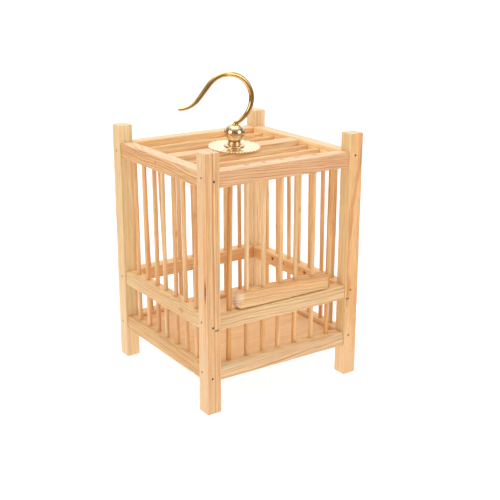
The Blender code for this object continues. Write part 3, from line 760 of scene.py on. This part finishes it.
RAIL_ROUND = 0.9
RAILS = {
    # rail: how its rings lie and how strongly they show
    "front_top": dict(seed=21.0, pitch=0.92, strength=1.0, pith=(8.0, 46.0), slope=-0.06, wave=0.8, wave_length=24.0,
                      pale=srgb(240, 194, 146), deep=srgb(234, 180, 130), late=srgb(186, 116, 74)),
    "front_mid": dict(seed=22.0, pitch=1.25, strength=0.75, pith=(20.0, 40.0), slope=-0.03, wave=0.7, wave_length=30.0,
                      pale=srgb(243, 208, 158), deep=srgb(238, 196, 142), late=srgb(208, 148, 90)),
    "front_bottom": dict(seed=23.0, pitch=1.05, strength=0.85, pith=(10.0, -40.0), slope=0.05, wave=0.8, wave_length=26.0,
                         pale=srgb(243, 206, 158), deep=srgb(236, 188, 138), late=srgb(198, 136, 84)),
    "back_top": dict(seed=24.0, pitch=1.1, strength=0.85, pith=(-12.0, 44.0), slope=0.04, wave=0.8, wave_length=28.0,
                     pale=srgb(244, 206, 156), deep=srgb(238, 188, 132), late=srgb(204, 134, 74)),
    "back_mid": dict(seed=25.0, pitch=1.2, strength=0.65, pith=(-20.0, 40.0), slope=0.02, wave=0.6, wave_length=30.0,
                     pale=srgb(243, 204, 152), deep=srgb(236, 188, 130), late=srgb(206, 138, 80)),
    "back_bottom": dict(seed=26.0, pitch=1.3, strength=0.6, pith=(20.0, 44.0), slope=-0.03, wave=0.6, wave_length=30.0,
                        pale=srgb(243, 202, 148), deep=srgb(236, 184, 124), late=srgb(202, 132, 70)),
    "left_top": dict(seed=27.0, pitch=0.90, strength=1.0, pith=(-10.0, 44.0), slope=0.05, wave=0.9, wave_length=22.0,
                     pale=srgb(240, 196, 144), deep=srgb(232, 178, 124), late=srgb(180, 112, 68)),
    "left_mid": dict(seed=28.0, pitch=1.0, strength=0.85, pith=(8.0, 38.0), slope=-0.05, wave=0.9, wave_length=20.0,
                     pale=srgb(242, 206, 156), deep=srgb(236, 192, 138), late=srgb(196, 136, 82),
                     knots=((-18.0, 3.15, 0.4, 3.2, 1.6, srgb(190, 128, 74), 0.6),)),
    "left_bottom": dict(seed=29.0, pitch=1.05, strength=0.85, pith=(10.0, 40.0), slope=0.03, wave=0.8, wave_length=26.0,
                        pale=srgb(241, 200, 144), deep=srgb(234, 184, 124), late=srgb(198, 132, 74)),
    "right_top": dict(seed=30.0, pitch=1.3, strength=0.6, pith=(-20.0, 50.0), slope=0.02, wave=0.5, wave_length=30.0,
                      pale=srgb(246, 210, 154), deep=srgb(240, 194, 130), late=srgb(210, 142, 80)),
    "right_mid": dict(seed=31.0, pitch=1.2, strength=0.6, pith=(18.0, 42.0), slope=-0.02, wave=0.6, wave_length=30.0,
                      pale=srgb(243, 200, 144), deep=srgb(236, 184, 122), late=srgb(200, 128, 68)),
    "right_bottom": dict(seed=32.0, pitch=1.2, strength=0.6, pith=(-16.0, 42.0), slope=0.02, wave=0.6, wave_length=30.0,
                         pale=srgb(243, 202, 148), deep=srgb(236, 186, 128), late=srgb(202, 136, 80)),
}
# A greyer strip along the top front arris near the left end: (rail, low corner, high corner) in the rail's own
# millimetres.
PATCHES = {
    "front_bottom": (((-34.0, -3.6, 2.0), (-20.0, -2.4, 3.2), srgb(208, 186, 138), 0.7),),
}
# Painted shade: the wood inside a rail, seen only down its holes, is painted a darker orange than its faces.
HOLE_PAINTED_SHADE = ((-33.0, -2.7, -2.7), (33.0, 2.7, 2.7), srgb(236, 146, 78), 0.85)
# The small open joints at a rail's two ends.
OPEN = {"front_bottom": (0.22, 0.03), "left_top": (0.26, 0.04), "front_top": (0.16, 0.05), "left_bottom": (0.20, 0.03)}

for key, look in RAILS.items():
    side, level = key.split("_")
    node = f"rail_{side}_{level}"
    centre, size = middle_and_size(node)
    lengthwise = 0 if side in ("front", "back") else 1
    turn = Matrix.Identity(4) if lengthwise == 0 else ALONG_Y
    # The rails are let right up to the posts, whose inner faces are these.
    reach = (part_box("post_front_right")[0].x if lengthwise == 0 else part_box("post_back_left")[0].y) / MM - FULLER
    a, b = OPEN.get(key, (0.03, 0.03))
    length = 2 * reach - a - b
    centre = centre + Vector((0, 0, 0))
    centre[lengthwise] += (a - b) / 2 * MM
    if side == "left":
        # Its low end is the front one.
        pass
    mat = wood(
        "pine_rail_" + key, look["seed"], look["pale"], look["deep"], look["late"], pitch=look["pitch"],
        strength=look["strength"], pith=look["pith"], slope=look["slope"], wave=look["wave"],
        wave_length=look["wave_length"], fibre=0.13, end=END_PALE, knots=look.get("knots", ()),
        patches=PATCHES.get(key, ()) + (HOLE_PAINTED_SHADE,), rough=0.55, tint=CAST_AND_PAINTED_LIGHT.get(node, (1.0, 1.0, 1.0)),
        # Painted light: the rails' top faces are painted paler, a painted sheen where the tops catch the light.
        sides=((2, 1, srgb(251, 217, 178), 0.8),) if level == "top" else ((2, 1, srgb(250, 216, 160), 0.7),),
    )
    width = size.y if lengthwise == 0 else size.x
    rail = timber(
        node + "_wood", length, width, size.z, mat, Matrix.Translation(centre) @ turn, look["seed"],
        radii=(RAIL_ROUND, RAIL_ROUND, 0.35, 0.35), end_round=(0.3, 0.3), stations=70, wobble=0.05, nick=0.12,
        bow=(0.03, 0.04),
    )
    runs = []
    if side in ("left", "right", "back"):
        runs += holes_for([f"{side}_bar_{k}" for k in range(1, 8)])
    else:
        names = ["front_long_bar_left", "front_long_bar_right"]
        if level != "top":
            names += [f"front_short_bar_{k}" for k in range(1, 6)]
        runs += holes_for(names)
        if level == "top":
            for n in DOOR_NODES:
                foot, head, radius = rods[n]
                runs.append((head - Vector((0, 0, 0.012)), head + Vector((0, 0, 0.005)), (radius + 0.14) * MM))
    if level == "top" and side in ("left", "right"):
        runs += holes_for(GRID_NODES + ["grid_dowel_behind_slat"])
        # The nail that holds the roof slat's end.
        sign = -1 if side == "left" else 1
        face = (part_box(node)[0].x if side == "left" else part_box(node)[1].x)
        spot = Vector((face, 0.0014 if side == "left" else -0.0004, 0.1019))
        brads.append((spot, Vector((-sign, 0, 0))))
        runs.append((spot + Vector((sign * 0.5 * MM, 0, 0)), spot - Vector((sign * 0.55 * MM, 0, 0)), BRAD))
    if level == "mid" and side in ("left", "right"):
        sign = -1 if side == "left" else 1
        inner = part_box(node)[1].x if side == "left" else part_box(node)[0].x
        for k in range(-3, 4):
            spot = Vector((inner, (k * 8.75 - 0.9) * MM, 0.0412))
            runs.append((spot - Vector((sign * 1.0 * MM, 0, 0)), spot + Vector((sign * 1.5 * MM, 0, 0)), 1.0 * MM))
    drill(rail, runs)
    done(rail, "frame", "rail_pine", node)


# ================================================================ the floor
def floor_panel():
    """A thin plywood panel: a grid of points that dips a little in the middle."""
    centre, size = middle_and_size("floor_panel")
    mat = wood(
        "plywood_floor", 41.0, srgb(247, 204, 156), srgb(242, 192, 142), srgb(222, 156, 104), pitch=3.2, strength=0.2,
        pith=(4.0, 24.0), slope=0.02, wave=1.6, wave_length=26.0, fibre=0.05, rough=0.58, relief=0.04,
        tint=CAST_AND_PAINTED_LIGHT.get("floor_panel", (1.0, 1.0, 1.0)),
    )
    panel = timber(
        "floor_panel_plywood", size.x, size.y, size.z, mat, Matrix.Translation(centre), 41.0,
        radii=(0.12,) * 4, end_round=(0.12, 0.12), stations=60, per_side=26, per_corner=2, wobble=0.05, nick=0.0,
        bow=(0.0, -0.06),
    )
    done(panel, "frame", "plywood", "floor_panel")


floor_panel()


# ================================================================ the door
def door_bar():
    centre, size = middle_and_size("door_bar")
    mat = wood(
        "pine_door_bar", 47.0, srgb(243, 206, 154), srgb(238, 190, 134), srgb(194, 128, 76), pitch=1.0, strength=0.9,
        pith=(16.0, 40.0), slope=-0.07, wave=0.9, wave_length=22.0, fibre=0.09, speckle=0.14,
        tint=CAST_AND_PAINTED_LIGHT.get("door_bar", (1.0, 1.0, 1.0)),
        # The end grain is painted near white, partly its own pale end grain and partly painted light on an end that
        # sits in shade.
        end=srgb(254, 240, 214), rough=0.5,
        # Painted light at the left end: the pale patch on its upper part is a painted highlight, and the small dark
        # red-brown spot at its foot is partly marks on the broken corner and partly painted shade.
        knots=(
            (-23.6, -2.3, 2.4, 3.6, 3.6, srgb(255, 234, 198), 0.72),
            (-24.2, -2.6, -2.4, 0.7, 0.9, srgb(186, 110, 56), 0.55),
        ),
    )

    def chipped(p):
        """The foot of the left end is broken away a little."""
        if p.x < -19.0:
            k = (-19.0 - p.x) / 4.4
            low = max(0.0, -p.z - 0.3) / 3.1
            p = p + Vector((0.55 * k * low * (0.6 + noise.noise(p * 1.1)), 0, 0))
        if p.x < -20.4:
            # The upper front corner of that end is rubbed round.
            k = min(1.0, (-20.4 - p.x) / 3.8) ** 2
            up = min(1.0, max(0.0, (p.z + 1.6) / 4.2))
            front = min(1.0, max(0.0, (1.8 - p.y) / 4.6))
            p = p + Vector((0, 1.5 * k * up * front, -1.5 * k * up * (0.35 + 0.65 * front)))
        return p

    bar = timber(
        "door_bar_wood", size.x, size.y, size.z, mat, Matrix.Translation(centre), 47.0,
        radii=(0.9, 1.5, 0.5, 0.5), end_round=(1.5, 1.2), stations=64, per_side=6, per_corner=6, wobble=0.07,
        nick=0.16, bend=chipped, dome=0.25,
    )
    runs = []
    for n in DOOR_NODES:
        foot, head, radius = rods[n]
        runs.append((foot - Vector((0, 0, 0.0002)), head, (radius + 0.07) * MM))
    drill(bar, runs)
    done(bar, "door", "door_pine", "door_bar")


door_bar()


# ================================================================ the roof slat
swivel = next(j for j in frame["joints"] if j["name"] == "hook_swivel")
AXIS = Vector(swivel["axis"]).normalized()
PIVOT = Vector(swivel["pos_m"])
# The slat and the brass lie square to the hook's axis: a frame with its own Z along it.
TILT = Matrix.Translation(PIVOT) @ Vector((0, 0, 1)).rotation_difference(AXIS).to_matrix().to_4x4()


def roof_slat():
    low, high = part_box("roof_slat")
    points = np.array([TILT.inverted() @ v.co for v in NODES["roof_slat"].data.vertices], float) / MM
    a, b = points.min(0), points.max(0)
    middle = Vector((a + b) / 2)
    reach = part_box("rail_right_top")[0].x / MM - 0.04
    mat = wood(
        "pine_roof_slat", 53.0, srgb(246, 212, 162), srgb(241, 196, 140), srgb(208, 140, 80), pitch=1.1, strength=0.8,
        pith=(34.0, 22.0), slope=0.05, wave=0.9, wave_length=26.0, fibre=0.07, rough=0.52,
        # Painted light: the slat's top face is painted paler, a painted sheen.
        tint=CAST_AND_PAINTED_LIGHT.get("roof_slat", (1.0, 1.0, 1.0)), sides=((2, 1, srgb(250, 208, 158), 0.6),),
    )
    slat = timber(
        "roof_slat_wood", 2 * reach, b[1] - a[1], b[2] - a[2], mat,
        TILT @ Matrix.Translation(Vector((-PIVOT.x / MM, middle.y, middle.z)) * MM), 53.0,
        radii=(0.45, 0.45, 0.4, 0.4), end_round=(0.25, 0.25), stations=70, wobble=0.05, nick=0.1,
    )
    bore = [(TILT @ Vector((0, 0, (a[2] - 2) * MM)), TILT @ Vector((0, 0, (b[2] + 2) * MM)), 1.3 * MM)]
    drill(slat, bore)
    done(slat, "frame", "rail_pine", "roof_slat")
    return a, b


slat_low, slat_high = roof_slat()


# ================================================================ the brass
BRASS = brass("brass_polished", 3.0, srgb(240, 206, 166), 0.07)
BRASS_PALE = brass("brass_rosette", 9.0, srgb(252, 238, 200), 0.20, shade=0.2)
BRASS_WIRE = brass("brass_wire", 15.0, srgb(240, 202, 136), 0.09)


def turned(name, outline, mat, sides=72, smooth=40.0):
    """Turns a closed outline of (radius, height) about the hook's axis."""
    verts, faces = [], []
    count = len(outline)
    for k in range(sides):
        a = 2 * math.pi * k / sides
        for r, z in outline:
            verts.append(Vector((r * math.cos(a), r * math.sin(a), z)) * MM)
    for k in range(sides):
        n = (k + 1) % sides
        for j in range(count):
            m = (j + 1) % count
            faces.append((k * count + j, n * count + j, n * count + m, k * count + m))
    return new_object(name, verts, faces, mat, TILT, smooth)


def eased(points, steps):
    """A smooth line through the points, Catmull-Rom."""
    out = []
    for k in range(len(points) - 1):
        p0, p1, p2, p3 = (Vector(points[max(0, min(len(points) - 1, k + d))]) for d in (-1, 0, 1, 2))
        for s in range(steps):
            f = s / steps
            out.append(tuple(
                0.5 * (2 * p1 + (p2 - p0) * f + (2 * p0 - 5 * p1 + 4 * p2 - p3) * f * f + (3 * p1 - p0 - 3 * p2 + p3) * f ** 3)
            ))
    out.append(tuple(points[-1]))
    return out


def rosette():
    """A stamped disc: a scalloped rim with a rolled edge, faint flutes and a raised middle."""
    scallops, per = 24, 10
    count = scallops * per
    low = slat_high[2] + 0.06
    verts, faces, rows = [], [], []
    # (share of the rim's radius, or a radius; height of the top; how much of the scallop shows)
    top = ((1.35, 0.42), (3.0, 0.44), (5.0, 0.42), (7.0, 0.38), (8.6, 0.36), (8.9, 0.42), (9.2, 0.42), (9.5, 0.34),
           (10.2, 0.32), (10.8, 0.40), (11.2, 0.42), (11.45, 0.34), (11.5, 0.22))
    under = ((11.5, 0.12), (11.3, 0.02), (10.6, 0.02), (7.0, 0.0), (1.35, 0.0))

    def ring(radius, height):
        row = []
        share = max(0.0, (radius - 6.0) / 5.5)
        radius = radius + 0.38 * min(1.0, share) ** 2
        for k in range(count):
            a = 2 * math.pi * k / count
            lobe = abs(math.sin(a * scallops / 2))
            r = radius - 0.85 * share ** 2 * (1 - lobe) ** 1.1
            z = height + (0.18 * share * (lobe - 0.6) if height > 0.25 else 0.0)
            row.append(len(verts))
            verts.append(Vector((r * math.cos(a), r * math.sin(a), low + z)) * MM)
        return row

    for radius, height in top + under:
        rows.append(ring(radius, height))
    for j in range(len(rows)):
        this, that = rows[j], rows[(j + 1) % len(rows)]
        for k in range(count):
            n = (k + 1) % count
            faces.append((this[k], this[n], that[n], that[k]))
    made = new_object("hook_rosette_brass", verts, faces, BRASS_PALE, TILT, 40.0)
    done(made, "frame", "brass", "hook_rosette")
    return low + 0.44


rosette_top = rosette()


def fitting():
    foot = rosette_top - 0.02
    outline = [
        (1.2, 0.0), (4.40, 0.0), (4.68, 0.06), (4.76, 0.20), (4.70, 0.36), (4.35, 0.50), (3.85, 0.60), (3.45, 0.74),
        (3.26, 0.92), (3.28, 1.10), (3.22, 1.26), (3.04, 1.40), (2.95, 1.62), (2.95, 1.96), (3.10, 2.42),
        (3.46, 2.98), (3.90, 3.62), (4.30, 4.36), (4.56, 5.14), (4.68, 5.96), (4.62, 6.78), (4.39, 7.58),
        (3.98, 8.28), (3.40, 8.86), (2.72, 9.26), (2.02, 9.47), (1.45, 9.52),
    ]
    fine = eased([(r, z) for r, z in outline[1:]], 3)
    fine = [(1.2, 0.0)] + [(r, z) for r, z in fine] + [(1.2, 9.46)]
    made = turned("hook_fitting_brass", [(r, foot + z) for r, z in fine], BRASS, smooth=50.0)
    done(made, "frame", "brass", "hook_fitting")
    return foot + 9.52


fitting_top = fitting()


# ================================================================ the hook
HOOK_TURN = -12.0
LOOP_CENTRE, LOOP_RADIUS, LOOP_FROM, LOOP_TO = (-3.67, 23.99), 11.27, -66.0, 143.0
TAIL_STRAIGHT, TAIL_RADIUS, TAIL_TURN = 7.2, 10.6, 55.0
SHANK, WIRE, TIP = 1.05, 1.15, 0.6


def hook_path():
    """(along, up, wire radius, heading) from the peened end under the slat to the tip."""
    up = math.radians(90)
    under = slat_low[2] - 0.08
    points = []
    for z, r in (
        (under - 1.15, 1.0), (under - 1.10, 1.55), (under - 0.95, 1.95), (under - 0.70, 2.2), (under - 0.35, 2.3),
        (under - 0.1, 2.22), (under, 2.05), (under, SHANK),
    ):
        points.append((0.0, z, r, up))
    # A thin swelling where the shank leaves the ball.
    neck = fitting_top - 0.25
    points += [(0.0, neck, SHANK, up), (0.0, neck + 0.10, SHANK + 0.10, up), (0.0, neck + 0.30, SHANK + 0.12, up)]
    a = math.radians(LOOP_FROM)
    start = (LOOP_CENTRE[0] + LOOP_RADIUS * math.cos(a), LOOP_CENTRE[1] + LOOP_RADIUS * math.sin(a))
    heading = a + math.pi / 2
    bend = start[0] / (1 - math.sin(heading))
    centre = (bend, start[1] - bend * math.cos(heading))
    for k in range(1, 10):
        h = up + (heading - up) * k / 10
        points.append((centre[0] - bend * math.sin(h), centre[1] + bend * math.cos(h), SHANK, h))
    for k in range(97):
        f = k / 96
        a = math.radians(LOOP_FROM + (LOOP_TO - LOOP_FROM) * f)
        r = SHANK + (WIRE - SHANK) * min(1.0, f * 2.5)
        points.append((
            LOOP_CENTRE[0] + LOOP_RADIUS * math.cos(a), LOOP_CENTRE[1] + LOOP_RADIUS * math.sin(a), r, a + math.pi / 2,
        ))
    x, z, r, h = points[-1]
    total, run = TAIL_STRAIGHT + TAIL_RADIUS * math.radians(TAIL_TURN), 0.0
    # The bend eases in from the straight, so the curve has no corner in it.
    steps = 60
    for k in range(steps):
        f0 = (k + 0.5) / steps
        straight = TAIL_STRAIGHT / total
        ease = min(1.0, max(0.0, (f0 - straight + 0.12) / 0.24))
        rate = -math.radians(TAIL_TURN) / (1 - straight) / steps * (ease * ease * (3 - 2 * ease))
        step = total / steps
        x += step * math.cos(h + rate / 2)
        z += step * math.sin(h + rate / 2)
        h += rate
        run += step
        points.append((x, z, WIRE + (TIP - WIRE) * (run / total) ** 1.6, h))
    for degrees in (15, 30, 45, 60, 75, 85):
        d = math.radians(degrees)
        points.append((x + TIP * math.sin(d) * math.cos(h), z + TIP * math.sin(d) * math.sin(h), TIP * math.cos(d), h))
    return points


def hook():
    sides = 28
    verts, faces, rows = [], [], []
    for k, (x, z, r, h) in enumerate(hook_path()):
        across = Vector((math.sin(h), 0, -math.cos(h)))
        row = []
        for j in range(sides):
            a = 2 * math.pi * j / sides
            wear = 1.0 + 0.010 * noise.noise(Vector((k * 0.11, math.cos(a), math.sin(a))))
            p = Vector((x, 0, z)) + (across * math.cos(a) + Vector((0, 1, 0)) * math.sin(a)) * r * wear
            row.append(len(verts))
            verts.append(p * MM)
        rows.append(row)
    for this, that in zip(rows[:-1], rows[1:]):
        for j in range(sides):
            n = (j + 1) % sides
            faces.append((this[j], this[n], that[n], that[j]))
    faces.append(tuple(rows[0][::-1]))
    faces.append(tuple(rows[-1]))
    turn = Matrix.Rotation(math.radians(HOOK_TURN), 4, "Z")
    made = new_object("hook_brass", verts, faces, BRASS_WIRE, TILT @ turn, 50.0)
    done(made, "hook_body", "brass", "hook")


hook()


# ================================================================ the nails
STEEL = steel("steel_nails", srgb(168, 166, 162), srgb(74, 62, 52), 0.85)
RUST = steel("steel_nails_rusted", srgb(84, 42, 22), srgb(36, 20, 14), 0.2)


def nails():
    """Every nail head, a low dome a little under the wood, in one piece."""
    verts, faces = [], []
    sides = 14
    for point, inward in brads:
        turn = inward.to_track_quat("X", "Z").to_matrix()
        last = None
        for depth, radius in ((1.1, 0.40), (0.42, 0.45), (0.36, 0.41), (0.32, 0.28), (0.31, 0.12)):
            row = []
            for j in range(sides):
                a = 2 * math.pi * j / sides
                row.append(len(verts))
                verts.append(point + inward * depth * MM + turn @ Vector((0, math.cos(a), math.sin(a))) * radius * MM)
            if last is None:
                faces.append(tuple(row))
            else:
                for j in range(sides):
                    n = (j + 1) % sides
                    faces.append((last[j], last[n], row[n], row[j]))
            last = row
        faces.append(tuple(last[::-1]))
    made = new_object("nail_heads_steel", verts, faces, RUST)
    done(made, "frame", "rail_pine")


nails()


def toe_nail(name, middle, direction, length, radius):
    """A nail driven at a slant, its side showing at the surface."""
    direction = Vector(direction).normalized()
    turn = direction.to_track_quat("X", "Z").to_matrix()
    verts, faces = [], []
    sides = 14
    last = None
    half = length / 2
    for x, r in ((-half - 0.08, 0.4), (-half, 0.95), (-half + 0.06, 1.0), (-half * 0.4, 0.98), (half * 0.4, 1.0), (half - 0.15, 0.96), (half, 0.7)):
        row = []
        for j in range(sides):
            a = 2 * math.pi * j / sides
            row.append(len(verts))
            verts.append(Vector(middle) * MM + turn @ Vector((x, r * radius * math.cos(a), r * radius * math.sin(a))) * MM)
        if last is None:
            faces.append(tuple(row))
        else:
            for j in range(sides):
                n = (j + 1) % sides
                faces.append((last[j], last[n], row[n], row[j]))
        last = row
    faces.append(tuple(last[::-1]))
    made = new_object(name, verts, faces, STEEL)
    done(made, "frame", "rail_pine")


toe_nail("toe_nail_left", (-35.2, -40.22, 37.9), (1, 0, 0.05), 1.7, 0.34)
toe_nail("toe_nail_right", (34.5, -40.22, 37.5), (1, 0, 0.05), 1.7, 0.34)


# ================================================================ the studio
def studio():
    # The floor: one wide disc of rings, so that its edge never shows.
    verts, faces = [], []
    sides = 96
    radii = (0.0, 0.4, 1.2, 3.5, 12.0)
    for r in radii[1:]:
        for j in range(sides):
            a = 2 * math.pi * j / sides
            verts.append((r * math.cos(a), r * math.sin(a), -0.0002))
    verts.append((0, 0, -0.0002))
    for j in range(sides):
        n = (j + 1) % sides
        faces.append((len(verts) - 1, j, n))
        for k in range(len(radii) - 2):
            faces.append((k * sides + j, (k + 1) * sides + j, (k + 1) * sides + n, k * sides + n))
    floor = new_object("studio_floor", verts, faces, floor_cloth("studio_floor_white"))

    # Dark cards that only the brass sees: one round the floor, one about the camera.
    flag = bpy.data.materials.new("studio_card_dark")
    t = Tree(flag)
    coords = t.node("ShaderNodeTexCoord")
    weave = t.noise(coords.outputs["Object"], 40.0, 2.0)
    t.finish(t.mix(weave, (0.13, 0.11, 0.075), (0.17, 0.145, 0.10)), 0.95, None, 0.0)
    ring_verts, ring_faces = [], []
    for r in (0.17, 0.6, 3.0, 11.0):
        for j in range(sides):
            a = 2 * math.pi * j / sides
            ring_verts.append((r * math.cos(a), r * math.sin(a), 0.001))
    for j in range(sides):
        n = (j + 1) % sides
        for k in range(3):
            ring_faces.append((k * sides + j, (k + 1) * sides + j, (k + 1) * sides + n, k * sides + n))
    for name, v, f, place in (
        ("studio_card_floor", ring_verts, ring_faces, Matrix.Identity(4)),
        ("studio_card_camera", [(-0.15, 0, -0.16), (0.15, 0, -0.16), (0.15, 0, 0.18), (-0.15, 0, 0.18)], [(0, 1, 2, 3)],
         Matrix.Translation((-0.545 * 0.62, -0.839 * 0.62, 0.30)) @ Matrix.Rotation(math.radians(-33), 4, "Z")),
    ):
        card = new_object(name, v, f, flag, place)
        card.visible_camera = False
        card.visible_diffuse = False
        card.visible_transmission = False
        card.visible_volume_scatter = False
        card.visible_shadow = False

    world = bpy.data.worlds.new("studio")
    bpy.context.scene.world = world
    world.use_nodes = True
    tree = world.node_tree
    tree.nodes.clear()
    t = Tree.__new__(Tree)
    t.tree = tree
    coords = t.node("ShaderNodeTexCoord")
    direction = coords.outputs["Generated"]
    toward = t.vmath("DOT_PRODUCT", direction, (-0.545, -0.839, 0.0))
    high = t.split(direction)[2]
    front = t.step(toward, -0.85, -0.30)
    low = t.step(high, 0.60, 0.85, 1.0, 0.0)
    behind = t.mul(t.math("SUBTRACT", 1.0, front), low, WORLD_BACK - WORLD_TOP)
    ahead = t.mul(front, low, WORLD_TOP - WORLD_FRONT)
    level = t.math("SUBTRACT", t.add(behind, WORLD_TOP), ahead)
    ray = t.node("ShaderNodeLightPath")
    strength = t.node("ShaderNodeMix", data_type="FLOAT")
    t.put(strength.inputs[0], ray.outputs["Is Camera Ray"])
    t.put(strength.inputs[2], level)
    strength.inputs[3].default_value = 1.02
    back = t.node("ShaderNodeBackground")
    back.inputs["Color"].default_value = (1.0, 1.0, 1.0, 1.0)
    t.put(back.inputs["Strength"], strength.outputs[0])
    out = t.node("ShaderNodeOutputWorld")
    tree.links.new(back.outputs[0], out.inputs[0])


WORLD_BACK, WORLD_TOP, WORLD_FRONT = 1.15, 0.95, 0.28
studio()


def softbox(name, place, target, width, height, power, colour):
    light = bpy.data.lights.new(name, "AREA")
    light.shape = "RECTANGLE"
    light.size, light.size_y = width, height
    light.energy = power
    light.color = colour
    obj = bpy.data.objects.new(name, light)
    obj.location = place
    aim = (Vector(target) - Vector(place)).to_track_quat("-Z", "Y")
    obj.rotation_euler = aim.to_euler()
    bpy.context.scene.collection.objects.link(obj)
    return obj


CENTRE = (0.0, 0.0, 0.07)
softbox("softbox_left", (-1.05, -0.10, 0.38), CENTRE, 0.72, 0.70, 3.3, (1.0, 0.99, 0.97))
softbox("softbox_right", (0.42, -1.05, 0.38), CENTRE, 0.62, 0.62, 3.2, (1.0, 0.98, 0.96))
softbox("softbox_top", (0.10, 0.15, 1.15), CENTRE, 0.95, 0.95, 4.9, (1.0, 0.99, 0.98))


def camera():
    """Level with the cage's left front corner, looking down a little."""
    azimuth, elevation, distance, roll = 33.46, 17.48, 0.4447, -0.10
    target = Vector((0.52, -1.02, 58.65)) * MM
    a, e = math.radians(azimuth), math.radians(elevation)
    away = Vector((-math.sin(a) * math.cos(e), -math.cos(a) * math.cos(e), math.sin(e)))
    cam = bpy.data.cameras.new("camera")
    cam.sensor_width = 36.0
    cam.lens = 967.1 * 36.0 / 500.0
    cam.shift_x = 13.0 / 500.0
    cam.shift_y = -5.0 / 500.0
    cam.clip_start, cam.clip_end = 0.01, 60.0
    obj = bpy.data.objects.new("camera", cam)
    right = Vector((math.cos(a), -math.sin(a), 0.0))
    forward = -away
    up = right.cross(forward)
    ro = math.radians(roll)
    right, up = right * math.cos(ro) + up * math.sin(ro), up * math.cos(ro) - right * math.sin(ro)
    turn = Matrix((right, up, -forward)).transposed().to_4x4()
    obj.matrix_world = Matrix.Translation(target + away * distance) @ turn
    bpy.context.scene.collection.objects.link(obj)
    bpy.context.scene.camera = obj


camera()
bpy.context.scene.view_settings.view_transform = "Standard"
bpy.context.scene.view_settings.look = "None"
